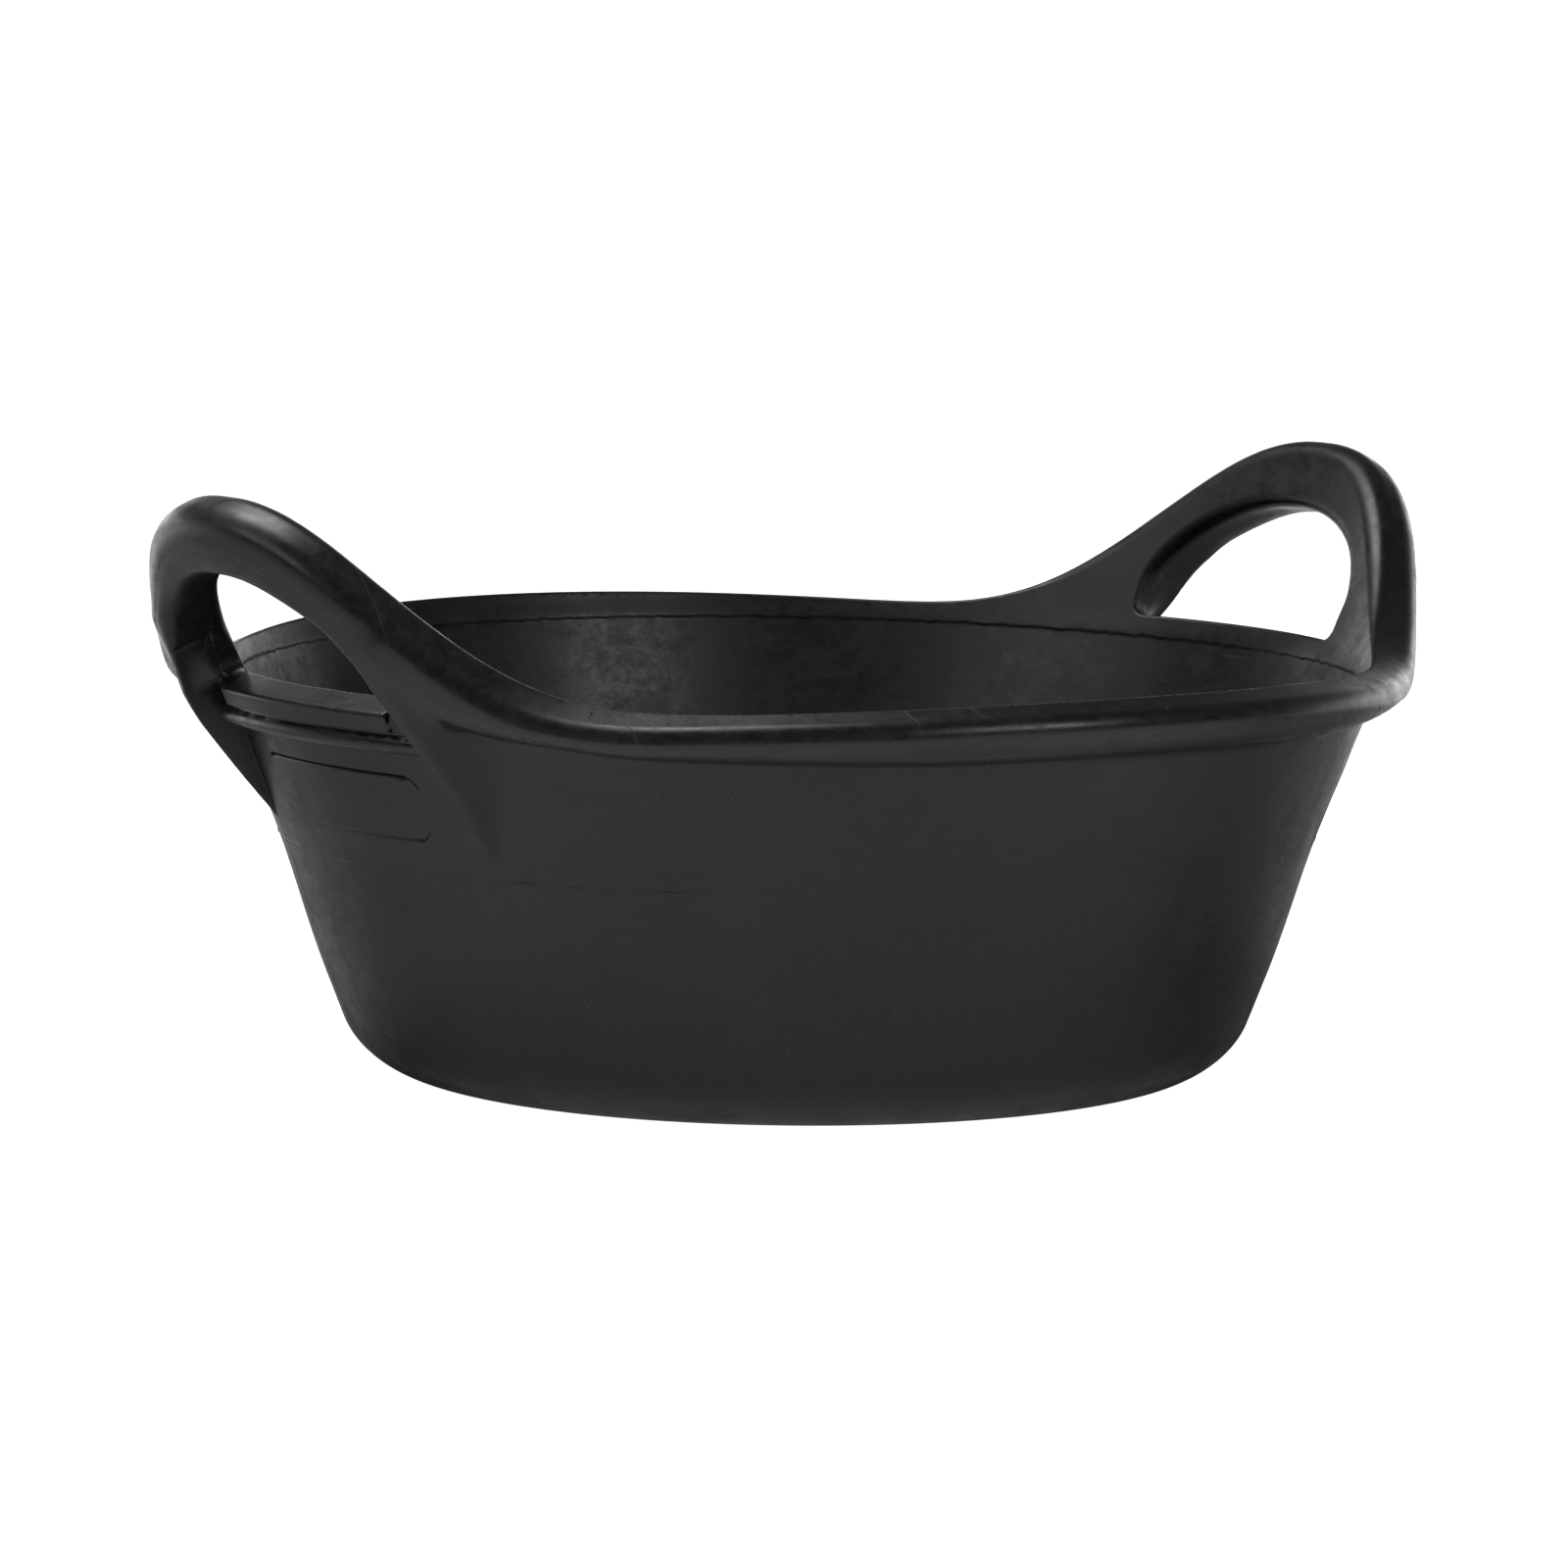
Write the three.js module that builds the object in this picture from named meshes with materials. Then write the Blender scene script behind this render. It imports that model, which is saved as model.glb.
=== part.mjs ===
// Mason's mortar mixing tub in black rubber, with two loop handles moulded into its rim.
// Millimetres, +Z up. The origin is the centre of the underside, which is the flat face it rests on.
// +X runs through the two handles and +Y points to the rear.
//
// The tub is a cone that opens upwards. A point of it is given by its angle round the axis,
// the height at which it leaves the inner face, and its depth from that face, square to the wall.
import * as THREE from 'three';
import { mergeVertices } from 'three/addons/utils/BufferGeometryUtils.js';

// Driving dimensions.
const RIM_DIAMETER = 441;
const RIM_HEIGHT = 155.2;
const RIM_DIP_AT_HANDLES = 8.6;
const WALL_SLOPE = 0.387;
const HANDLE_SLOPE = 0.453;
const WALL_THICKNESS = 5.6;
const FLOOR_THICKNESS = 7;
const FLOOR_OUTER_FILLET = 20;
const FLOOR_INNER_FILLET = 14;
const FLOOR_PART_TOP = 24;
const BELLY = 2.6;
const BELLY_LOW = 38;
const BELLY_HIGH = 95;
const BEAD_HEIGHT = 17;
const BEAD_THICKNESS = 15.5;
const HANDLE_RISE = 73;
const HANDLE_SPREAD = 21.2;
const HANDLE_ROUNDNESS = 2.2;
const GRIP_THICKNESS = 24.2;
const GRIP_FLANK = 6;
const HAND_HOLE_SILL = 150.7;
const HAND_HOLE_HEIGHT = 44;
const HAND_HOLE_HALF_ANGLE = 16.8;
const SILL_THICKNESS = 13.5;
const LEG_HALF_ANGLE = 37.6;
const GUSSET_TIP_HEIGHT = 96;
const GUSSET_HALF_ANGLE_AT_TIP = 22.8;
const GUSSET_HALF_ANGLE_AT_TOP = 20.4;
const GUSSET_WIDTH = 9;
const BADGE_LOW = 98.2;
const BADGE_HIGH = 123.2;
const BADGE_HALF_ANGLE = 14.5;
const BADGE_PROUD = 0.9;
const GAP = 0.3;
const ROUND_STEPS = 72;
const WALL_STEPS = 5;

const DEGREE = Math.PI / 180;
const WALL_TILT = Math.atan(WALL_SLOPE);
const BEAD_SECTION = { low: 0.2, round: 2.6 };
const RIM_INNER_RADIUS = RIM_DIAMETER / 2 - BEAD_THICKNESS * Math.cos(WALL_TILT)
  + WALL_SLOPE * BEAD_HEIGHT * 0.3;

// The inner face: a cone up to the rim and a slightly wider one above it, in the handles.
// Low down the cone bellies out a little, before it turns in to the foot.
function innerRadius(height) {
  const slope = height > RIM_HEIGHT ? HANDLE_SLOPE : WALL_SLOPE;
  const belly = BELLY * (1 - THREE.MathUtils.smoothstep(height, BELLY_LOW, BELLY_HIGH));
  return RIM_INNER_RADIUS + slope * (height - RIM_HEIGHT) + belly;
}

// How far the wall leans out, from the vertical. It changes smoothly just below the rim.
function tilt(height) {
  const blend = THREE.MathUtils.smoothstep(height, RIM_HEIGHT - 14, RIM_HEIGHT + 14);
  return Math.atan(THREE.MathUtils.lerp(WALL_SLOPE, HANDLE_SLOPE, blend));
}

function point(angle, height, depth) {
  const lean = tilt(height);
  const radius = innerRadius(height) + depth * Math.cos(lean);
  const turn = angle * DEGREE;
  return new THREE.Vector3(radius * Math.cos(turn), radius * Math.sin(turn), height - depth * Math.sin(lean));
}

// The rim dips a little towards the two handles, and the crest of a handle is a bell curve on it.
function rimHeight(angle) {
  return RIM_HEIGHT - RIM_DIP_AT_HANDLES * Math.cos(angle * DEGREE) ** 2;
}

function crestHeight(angle) {
  return rimHeight(angle) + HANDLE_RISE * Math.exp(-((Math.abs(angle) / HANDLE_SPREAD) ** HANDLE_ROUNDNESS));
}

function wallTop(angle) {
  return rimHeight(angle) - BEAD_HEIGHT;
}

// A half-round section: 0 at both ends of its span, 1 on its crown.
function crown(part, round) {
  const side = Math.abs(2 * part - 1);
  return Math.max(0, 1 - side ** round) ** (1 / round);
}

function beadDepth(part) {
  const swell = BEAD_SECTION.low + (1 - BEAD_SECTION.low) * crown(part, BEAD_SECTION.round);
  return WALL_THICKNESS + (BEAD_THICKNESS - WALL_THICKNESS) * swell;
}

// Bends a block of nu x nv x nw cells: place(u, v, w) says where each of its points goes.
function bentBlock(nu, nv, nw, place) {
  const geometry = new THREE.BoxGeometry(1, 1, 1, nu, nv, nw);
  const spot = geometry.attributes.position;
  for (let i = 0; i < spot.count; i += 1) {
    const moved = place(spot.getX(i) + 0.5, spot.getY(i) + 0.5, spot.getZ(i) + 0.5);
    spot.setXYZ(i, moved.x, moved.y, moved.z);
  }
  return closed(geometry);
}

function closed(geometry) {
  geometry.deleteAttribute('normal');
  geometry.deleteAttribute('uv');
  const merged = mergeVertices(geometry, 1e-4);
  merged.computeVertexNormals();
  return merged;
}

function rubber(colour, roughness) {
  return new THREE.MeshStandardMaterial({ color: colour, roughness, metalness: 0 });
}

const tub = new THREE.Group();
tub.name = 'mortar_tub';

// Halves and quarters of the tub are turned copies of one shape, never mirrored ones.
function add(name, geometry, material, turn = 0) {
  const mesh = new THREE.Mesh(geometry, material);
  mesh.name = name;
  mesh.rotation.z = turn * DEGREE;
  tub.add(mesh);
}

// The floor with the rounded foot of the wall.
function floorGeometry() {
  const profile = [new THREE.Vector2(0, 0)];
  const arcSteps = 5;
  const sweep = 90 * DEGREE - WALL_TILT;
  const footCorner = innerRadius(0) + WALL_THICKNESS / Math.cos(WALL_TILT);
  const footCentre = footCorner - FLOOR_OUTER_FILLET * Math.tan(sweep / 2);
  for (let i = 0; i <= arcSteps; i += 1) {
    const turn = sweep * (i / arcSteps);
    const reach = footCentre + FLOOR_OUTER_FILLET * Math.sin(turn);
    profile.push(new THREE.Vector2(reach, FLOOR_OUTER_FILLET * (1 - Math.cos(turn))));
  }
  const outerTop = point(0, FLOOR_PART_TOP + WALL_THICKNESS * Math.sin(WALL_TILT), WALL_THICKNESS);
  profile.push(new THREE.Vector2(outerTop.x, outerTop.z));
  profile.push(new THREE.Vector2(innerRadius(FLOOR_PART_TOP), FLOOR_PART_TOP));
  const innerCentre = innerRadius(FLOOR_THICKNESS) - FLOOR_INNER_FILLET * Math.tan(sweep / 2);
  for (let i = arcSteps; i >= 0; i -= 1) {
    const turn = sweep * (i / arcSteps);
    const rise = FLOOR_THICKNESS + FLOOR_INNER_FILLET * (1 - Math.cos(turn));
    profile.push(new THREE.Vector2(innerCentre + FLOOR_INNER_FILLET * Math.sin(turn), rise));
  }
  profile.push(new THREE.Vector2(0, FLOOR_THICKNESS));
  const geometry = new THREE.LatheGeometry(profile, ROUND_STEPS);
  geometry.rotateX(Math.PI / 2);
  return closed(geometry);
}

// The conical wall, from the foot to the underside of the bead.
function wallGeometry() {
  const square = [];
  for (let i = 0; i <= WALL_STEPS; i += 1) {
    square.push(new THREE.Vector2(2, i / WALL_STEPS));
  }
  for (let i = WALL_STEPS; i >= 0; i -= 1) {
    square.push(new THREE.Vector2(1, i / WALL_STEPS));
  }
  square.push(new THREE.Vector2(2, 0));
  const geometry = new THREE.LatheGeometry(square, ROUND_STEPS);
  geometry.rotateX(Math.PI / 2);
  const spot = geometry.attributes.position;
  for (let i = 0; i < spot.count; i += 1) {
    const angle = Math.atan2(spot.getY(i), spot.getX(i)) / DEGREE;
    const depth = (Math.hypot(spot.getX(i), spot.getY(i)) - 1) * WALL_THICKNESS;
    const low = FLOOR_PART_TOP + GAP + depth * Math.sin(WALL_TILT);
    const high = wallTop(angle) + depth * Math.sin(WALL_TILT);
    const moved = point(angle, THREE.MathUtils.lerp(low, high, spot.getZ(i)), depth);
    spot.setXYZ(i, moved.x, moved.y, moved.z);
  }
  return closed(geometry);
}

// The rolled bead along one long side, from handle to handle.
function beadGeometry() {
  const low = LEG_HALF_ANGLE + 0.05;
  return bentBlock(30, 7, 1, (u, v, w) => {
    const angle = THREE.MathUtils.lerp(low, 180 - low, u);
    const fromEnd = angle > 90 ? 180 - angle : angle;
    const depth = w * beadDepth(v);
    const foot = wallTop(angle) + GAP + depth * Math.sin(WALL_TILT) * (1 - v);
    return point(angle, THREE.MathUtils.lerp(foot, crestHeight(fromEnd), v), depth);
  });
}

// The edge of a handle's inner opening: up the gusset's edge, then round the half-oval hand hole.
const LEG_SHARE = 0.22;

function openingEdge(u) {
  if (u < LEG_SHARE) {
    const part = u / LEG_SHARE;
    return {
      angle: THREE.MathUtils.lerp(GUSSET_HALF_ANGLE_AT_TOP, HAND_HOLE_HALF_ANGLE, part ** 1.6),
      height: THREE.MathUtils.lerp(wallTop(GUSSET_HALF_ANGLE_AT_TOP) + GAP, HAND_HOLE_SILL, part),
    };
  }
  const turn = ((u - LEG_SHARE) / (1 - LEG_SHARE)) * 90 * DEGREE;
  return {
    angle: HAND_HOLE_HALF_ANGLE * Math.cos(turn),
    height: HAND_HOLE_SILL + HAND_HOLE_HEIGHT * Math.sin(turn),
  };
}

// The outer edge of a handle: up the end of the bead, then along the crest to the middle.
function crestEdge(u) {
  if (u < LEG_SHARE) {
    const low = wallTop(LEG_HALF_ANGLE) + GAP;
    return {
      angle: LEG_HALF_ANGLE,
      height: THREE.MathUtils.lerp(low, crestHeight(LEG_HALF_ANGLE), u / LEG_SHARE),
    };
  }
  const angle = LEG_HALF_ANGLE * (1 - (u - LEG_SHARE) / (1 - LEG_SHARE)) ** 1.15;
  return { angle, height: crestHeight(angle) };
}

// A handle is flat inside, on the cone, and round outside. Its legs spread into the bead.
function handleDepth(u, v) {
  const grip = GRIP_FLANK + (GRIP_THICKNESS - GRIP_FLANK) * crown(v, 2.3);
  const leg = THREE.MathUtils.lerp(GRIP_THICKNESS - 2, beadDepth(Math.min(1, u / LEG_SHARE)), v ** 0.7);
  return THREE.MathUtils.lerp(leg, grip, THREE.MathUtils.smoothstep(u, LEG_SHARE * 0.7, LEG_SHARE * 2.2));
}

function handleGeometry() {
  return bentBlock(48, 6, 1, (u, v, w) => {
    const along = 1 - Math.abs(2 * u - 1);
    const side = u < 0.5 ? 1 : -1;
    const inner = openingEdge(along);
    const outer = crestEdge(along);
    const angle = THREE.MathUtils.lerp(inner.angle, outer.angle, v);
    const height = THREE.MathUtils.lerp(inner.height, outer.height, v);
    const depth = w * handleDepth(along, v);
    const lift = along < LEG_SHARE ? depth * Math.sin(WALL_TILT) * (1 - along / LEG_SHARE) : 0;
    return point(side * -angle, height + lift, depth);
  });
}

// The sill of a hand hole: a rib above, and the bead running on below it.
function sillDepth(part) {
  const rib = SILL_THICKNESS * THREE.MathUtils.smoothstep(part, 0.45, 0.56);
  const bead = BEAD_THICKNESS * crown(Math.min(1, part * 1.6), 2.2);
  return Math.max(WALL_THICKNESS + 2, rib, bead);
}

function sillGeometry() {
  return bentBlock(12, 12, 1, (u, v, w) => {
    const depth = w * sillDepth(v);
    const edge = openingEdge(v * LEG_SHARE);
    const angle = (2 * u - 1) * (edge.angle - 0.1);
    const foot = wallTop(angle) + GAP + depth * Math.sin(WALL_TILT) * (1 - v);
    return point(angle, THREE.MathUtils.lerp(foot, HAND_HOLE_SILL, v), depth);
  });
}

// A gusset carries the edge of a handle's leg down the outside of the wall and fades out.
function gussetGeometry(side) {
  return bentBlock(4, 8, 1, (u, v, w) => {
    const across = side > 0 ? u : 1 - u;
    const edge = THREE.MathUtils.lerp(GUSSET_HALF_ANGLE_AT_TIP, GUSSET_HALF_ANGLE_AT_TOP, v);
    const width = 0.6 + GUSSET_WIDTH * v;
    const proud = 0.6 + (GRIP_THICKNESS - 2 - WALL_THICKNESS) * v * (1 - across) ** 1.5;
    const depth = WALL_THICKNESS + GAP + w * proud;
    const top = wallTop(edge) - GAP;
    const height = THREE.MathUtils.lerp(GUSSET_TIP_HEIGHT, top, v);
    return point(side * (edge + width * across), height + depth * Math.sin(WALL_TILT), depth);
  });
}

// The blank raised panel low on the wall between two gussets.
function badgeGeometry() {
  return bentBlock(10, 1, 1, (u, v, w) => {
    const depth = WALL_THICKNESS + GAP + w * BADGE_PROUD;
    const height = THREE.MathUtils.lerp(BADGE_LOW, BADGE_HIGH, v) + depth * Math.sin(WALL_TILT);
    return point((2 * u - 1) * BADGE_HALF_ANGLE, height, depth);
  });
}

add('floor', floorGeometry(), rubber(0x1c1c1d, 0.62));
add('side_wall', wallGeometry(), rubber(0x1b1b1c, 0.55));
add('rim_bead_rear', beadGeometry(), rubber(0x202021, 0.48));
add('rim_bead_front', beadGeometry(), rubber(0x202021, 0.48), 180);

const ENDS = [
  { name: 'right', turn: 0, positiveSide: 'rear', negativeSide: 'front' },
  { name: 'left', turn: 180, positiveSide: 'front', negativeSide: 'rear' },
];

for (const end of ENDS) {
  add(`handle_${end.name}`, handleGeometry(), rubber(0x1e1e1f, 0.5), end.turn);
  add(`hand_hole_sill_${end.name}`, sillGeometry(), rubber(0x1e1e1f, 0.52), end.turn);
  add(`gusset_${end.name}_${end.positiveSide}`, gussetGeometry(1), rubber(0x1d1d1e, 0.52), end.turn);
  add(`gusset_${end.name}_${end.negativeSide}`, gussetGeometry(-1), rubber(0x1d1d1e, 0.52), end.turn);
}

add('badge_panel_left', badgeGeometry(), rubber(0x1d1d1e, 0.5), 180);

export default tub;
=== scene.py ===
# Mason's mortar mixing tub in black rubber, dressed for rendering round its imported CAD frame.
import math

import bpy
import numpy as np
from mathutils import Matrix, Vector


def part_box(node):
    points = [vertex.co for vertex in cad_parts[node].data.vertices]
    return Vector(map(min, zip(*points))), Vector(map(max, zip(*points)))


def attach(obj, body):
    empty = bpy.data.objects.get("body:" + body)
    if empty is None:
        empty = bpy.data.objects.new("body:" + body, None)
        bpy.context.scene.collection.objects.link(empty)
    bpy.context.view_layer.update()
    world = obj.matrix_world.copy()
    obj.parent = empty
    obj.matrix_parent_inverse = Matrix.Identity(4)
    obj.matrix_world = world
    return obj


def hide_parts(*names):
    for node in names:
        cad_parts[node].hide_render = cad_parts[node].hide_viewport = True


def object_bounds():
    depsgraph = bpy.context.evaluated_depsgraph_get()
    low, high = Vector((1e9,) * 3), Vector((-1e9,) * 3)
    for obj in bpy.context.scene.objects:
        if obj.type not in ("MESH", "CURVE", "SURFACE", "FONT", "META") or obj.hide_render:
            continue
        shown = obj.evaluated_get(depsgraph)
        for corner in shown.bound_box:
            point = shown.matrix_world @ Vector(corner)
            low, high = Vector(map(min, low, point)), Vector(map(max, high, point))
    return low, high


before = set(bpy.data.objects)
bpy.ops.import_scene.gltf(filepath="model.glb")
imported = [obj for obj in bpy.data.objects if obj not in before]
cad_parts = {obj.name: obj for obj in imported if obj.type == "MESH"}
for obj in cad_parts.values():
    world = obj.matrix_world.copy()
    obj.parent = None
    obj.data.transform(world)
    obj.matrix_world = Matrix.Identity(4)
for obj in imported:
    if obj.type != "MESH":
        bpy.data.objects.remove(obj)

cad_low, cad_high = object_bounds()

# ------------------------------------------------------------------ sizes
# Shapes are worked out in millimetres and written to the meshes in metres.
MM = 0.001
DEGREE = math.pi / 180
RIM_RADIUS = (cad_high.y - cad_low.y) / 2 / MM - 0.5
CREST_HEIGHT = cad_high.z / MM + 1.3
HANDLE_RISE = 74.3
RIM_DIP = 8.6
RIM_HEIGHT = CREST_HEIGHT - HANDLE_RISE + RIM_DIP
FOOT_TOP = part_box("floor")[1].z / MM
WALL_SLOPE = 0.387
HANDLE_SLOPE = 0.453
WALL = 5.6
FLOOR = 7.0
FOOT_ROUND = 20.0
FLOOR_ROUND = 14.0
BELLY = 2.6
BELLY_LOW = 38.0
BELLY_HIGH = 95.0
BEAD_WIDTH = 18.2
BEAD_DEPTH = 15.0
BEAD_ROUND = 6.6
GRIP_WIDTH = 31.0
GRIP_DEPTH = 23.5
GRIP_ROUND = 13.0
# Angles from a handle's middle, in degrees, over which one thing turns into the next.
BEAD_TO_GRIP = (35.0, 13.0)
THIN_TO_THICK = (50.0, 15.0)
NARROW_TO_FULL = (72.0, 40.0)
BEAD_NARROWING = 4.5
UNDERCUT = 0.8
UNDERCUT_SLOPE = 0.34
BODY_ROUND = 4.0
BODY_FILLET = 4.0
GRIP_FILLET = 7.0
CREST_ROUND = 12.0
HANDLE_SPREAD = 22.1
HANDLE_ROUNDNESS = 2.42
ARC_RADIUS = 215.0
SILL = 150.7
HOLE_HEIGHT = 44.0
HOLE_ANGLE = 16.8
HOLE_CORNER = 6.0
RIB_LOW = 143.8
RIB_HALF = 53.0
RIB_DEPTH = 13.5
GROOVE_DEPTH = 10.8
LEDGE_LOW = 133.6
LEDGE_HIGH = 142.0
LEDGE_HALF = 66.0
LEDGE_DEPTH = 14.2
LEG_ANGLE = 37.6
GUSSET_LOW = 91.2
FIN_TIP = 97.0
FIN_FULL = 150.0
FIN_START = 164.0
FIN_PROUD = 18.6
FIN_ANGLE = 15.6
FIN_FLARE = 7.6
FIN_CURL = 1.8
FIN_REACH = 29.0
FIN_ROUND = 2.2
RECESS_DEPTH = 0.3
RECESS_FLARE = 3.3
BADGE_LOW = 100.8
BADGE_HIGH = 125.2
BADGE_HALF = 54.0
BADGE_CORNER = 9.0
BADGE_PROUD = 0.5
SEAM_BELOW_BEAD = 3.5
SEAM_BESIDE_FIN = 2.6
RIM_INNER = RIM_RADIUS - BEAD_DEPTH * math.cos(math.atan(WALL_SLOPE)) + 2.0
GRID = 1.75


# ------------------------------------------------------------------ the tub as a field
def length(a, b):
    return np.sqrt(a * a + b * b)


def both(a, b, round_edge):
    """The overlap of two solids, with its outer edge rounded."""
    u, v = a + round_edge, b + round_edge
    return length(np.maximum(u, 0), np.maximum(v, 0)) + np.minimum(np.maximum(u, v), 0) - round_edge


def either(a, b, fillet):
    """The union of two solids, with a soft fillet in the corner between them."""
    mix = np.maximum(fillet - np.abs(a - b), 0) / fillet
    return np.minimum(a, b) - mix * mix * fillet / 4


def ease(value, start, end):
    part = np.clip((value - start) / (end - start), 0, 1)
    return part * part * (3 - 2 * part)


def wall_coordinates(x, y, z):
    """Angle from a handle's middle (degrees), height on the inner face, depth square to it, and its lean."""
    x, y = np.abs(x), np.abs(y)
    above = z - (RIM_HEIGHT - 4)
    root = np.sqrt(above * above + 100)
    extra = HANDLE_SLOPE - WALL_SLOPE
    low = np.clip((BELLY_HIGH - z) / (BELLY_HIGH - BELLY_LOW), 0, 1)
    slope = WALL_SLOPE + extra * 0.5 * (1 + above / root)
    slope = slope - BELLY * 6 * low * (1 - low) / (BELLY_HIGH - BELLY_LOW)
    inner = RIM_INNER + WALL_SLOPE * (z - RIM_HEIGHT) + extra * 0.5 * (above + root)
    inner = inner + BELLY * low * low * (3 - 2 * low)
    cosine = 1 / np.sqrt(1 + slope * slope)
    depth = (length(x, y) - inner) * cosine
    height = z + depth * slope * cosine
    angle = np.arctan2(y, x) / DEGREE
    return angle, height, depth, cosine


def rim_height(angle):
    return RIM_HEIGHT - RIM_DIP * np.cos(angle * DEGREE) ** 2


def below_crest(angle, height, cosine):
    """Distance down the wall from the crest of the rim and the handles."""
    turn = np.abs(angle) / HANDLE_SPREAD
    bell = HANDLE_RISE * np.exp(-turn ** HANDLE_ROUNDNESS)
    fall = RIM_DIP * np.sin(2 * angle * DEGREE)
    fall = fall - bell * HANDLE_ROUNDNESS * turn ** (HANDLE_ROUNDNESS - 1) / (HANDLE_SPREAD * DEGREE)
    steep = fall / (ARC_RADIUS * cosine)
    return (rim_height(angle) + bell - height) / cosine / np.sqrt(1 + steep * steep)


def fin_edge(height):
    """Distance round the wall from the handle's middle to the sharp edge of a gusset."""
    down = np.clip((FIN_START + 2 - height) / (FIN_START - FIN_TIP), 0, 1.3)
    down = down * down / (down + 0.1)
    return (FIN_ANGLE + FIN_FLARE * down ** 0.62 - FIN_CURL * down * down) * DEGREE * ARC_RADIUS


def hole_edge(height):
    """Distance round the wall from the handle's middle to the side of the hand hole."""
    rise = np.clip((height - SILL) / HOLE_HEIGHT, 0, 1)
    return HOLE_ANGLE * DEGREE * ARC_RADIUS * np.sqrt(1 - rise * rise)


def hand_hole(around, height, cosine):
    """Negative inside the half-oval hand hole."""
    across = HOLE_ANGLE * DEGREE * ARC_RADIUS
    up = HOLE_HEIGHT / cosine
    rise = (height - SILL) / cosine
    scaled = length(around / across, rise / up) + 1e-3
    steep = length(around / across ** 2, rise / up ** 2) + 1e-5
    oval = scaled * (scaled - 1) / steep
    return both(oval, -rise, HOLE_CORNER)


def recess_edge(height, depth):
    """The inner flank of a leg: square to the wall low down, flared round the hand hole's lower corners."""
    flare = ease(depth, WALL + RECESS_FLARE, WALL + 14)
    fin, hole = fin_edge(height), hole_edge(height) - 0.8
    return fin - (1 - flare) * ease(height, SILL - 4, SILL + 2) * (fin - hole)


def sill(around, height, depth, cosine):
    """The squared rib under a hand hole, a groove, and the bead running on below it as a ledge."""
    rib_low = np.maximum(around - RIB_HALF, (RIB_LOW - height) / cosine)
    rib = both(np.maximum(rib_low, height - SILL - 4), depth - RIB_DEPTH, 1.3)
    backing = np.maximum(np.maximum(around - LEDGE_HALF, LEDGE_LOW + 3 - height), height - SILL)
    backing = both(backing, depth - GROOVE_DEPTH, 2.5)
    under = (LEDGE_LOW - height) / cosine + 0.4 * (depth - WALL)
    ledge = both(under, height - LEDGE_HIGH, 2.0)
    ledge = both(both(ledge, around - LEDGE_HALF - 4, 6.0), depth - LEDGE_DEPTH, 3.2)
    return either(either(rib, ledge, 1.2), backing, 1.5)


def tub(x, y, z):
    """Negative inside the rubber: the whole moulding, without its small surface marks."""
    angle, height, depth, cosine = wall_coordinates(x, y, z)
    around = angle * DEGREE * ARC_RADIUS
    down = below_crest(angle, height, cosine)
    handle = ease(angle, *BEAD_TO_GRIP)
    # The wall, and the roll along its top that is the bead and swells into the grips.
    wall = both(depth - WALL, -z, FOOT_ROUND)
    narrowing = BEAD_NARROWING * ease(angle, *NARROW_TO_FULL)
    width = BEAD_WIDTH + (GRIP_WIDTH - BEAD_WIDTH) * handle - narrowing
    thick = BEAD_DEPTH + (GRIP_DEPTH - BEAD_DEPTH) * ease(angle, *THIN_TO_THICK)
    rounding = BEAD_ROUND + (GRIP_ROUND - BEAD_ROUND) * handle
    under = down - width - UNDERCUT + UNDERCUT_SLOPE * (1 - handle) * (depth - WALL)
    roll = both(under, depth - thick, rounding)
    body = either(wall, roll, BODY_FILLET + GRIP_FILLET * handle)
    # The fins that run from the legs down the wall: part is 0 at the tip and 1 where they are full.
    part = np.clip((height - FIN_TIP) / (FIN_FULL - FIN_TIP), -0.3, 1)
    full = np.maximum(part, 0)
    beside = around - fin_edge(height)
    top = WALL + FIN_PROUD * np.sign(part) * np.abs(part) ** 0.94
    spread = 1.1 - 0.6 * full
    flank = (beside - 2.0 - 4.0 * part - spread * (top - depth)) / np.sqrt(1 + spread * spread)
    reach = np.maximum(height - SILL - FIN_REACH, FIN_TIP - 6 - height)
    fin = both(np.maximum(flank, reach), depth - top, FIN_ROUND)
    body = either(body, fin, 1.5 + 8.5 * full)
    body = both(body, depth - GRIP_DEPTH, BODY_ROUND)
    # The hollow between two legs, with the rib and the ledge laid across it.
    recess_depth = WALL + RECESS_DEPTH + 3 * ease(height, SILL - 3, SILL + 3)
    recess = np.maximum(around - recess_edge(height, depth), recess_depth - depth)
    recess = np.maximum(recess, height - FIN_START - 2)
    body = both(body, -recess, 1.0)
    body = either(body, sill(around, height, depth, cosine), 1.6)
    # The hand hole, the crest and the inside.
    outer_edge = 1.5 + 5.5 * ease(height, SILL + 8, SILL + 36)
    body = both(body, -hand_hole(around, height, cosine), outer_edge)
    body = both(body, -down, np.minimum(rounding, CREST_ROUND))
    cavity = both(depth, FLOOR - z, FLOOR_ROUND)
    inner_edge = np.maximum(ease(down, 20.0, 8.0), 0.6 * ease(height, SILL + 5, SILL + 18))
    return both(body, -cavity, 1.3 + 7.0 * handle * inner_edge)


# ------------------------------------------------------------------ small moulding marks
PARTING_STEP = 0.26
PARTING_RIDGE = 0.22
FLASH_HEIGHT = 143.8
FLASH_RIDGE = 0.12
FLASH_LIP = 0.45
WITNESS_LOW = 89.2
WITNESS_ANGLE = 46.0
WITNESS_RIDGE = 0.34
UNEVEN = 0.08


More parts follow.
